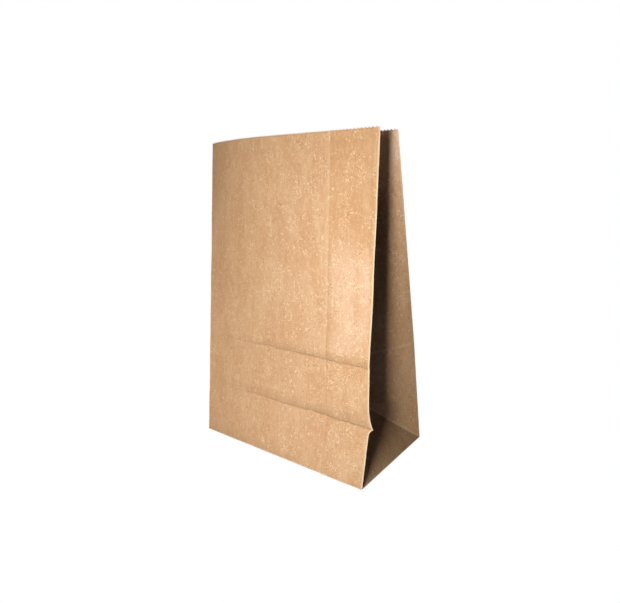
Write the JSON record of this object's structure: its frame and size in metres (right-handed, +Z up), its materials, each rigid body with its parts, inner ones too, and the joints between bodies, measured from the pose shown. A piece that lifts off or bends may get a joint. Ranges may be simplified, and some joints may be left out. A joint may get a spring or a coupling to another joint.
{
  "type": "paper lunch bag",
  "caption": "Brown kraft paper lunch bag, block bottom, pleated sides and a saw-cut open mouth, standing opened on its folded bottom",
  "frame": {"origin": "middle of the bottom, at the level the bag rests on: the centre of the rectangle that the bottom's four folded corners make", "axes": "+Z is up towards the open mouth; the panel with the glued seam and the fold of the bottom faces -Y; the pleated sides face +X and -X"},
  "size_m": [0.1835, 0.1002, 0.2741],
  "materials": {
    "kraft_paper": "unbleached brown kraft paper, mottled with fine fibres, matt with a faint calendered sheen"
  },
  "bodies": {
    "root": {"paper_bag": "kraft_paper"}
  },
  "joints": []
}
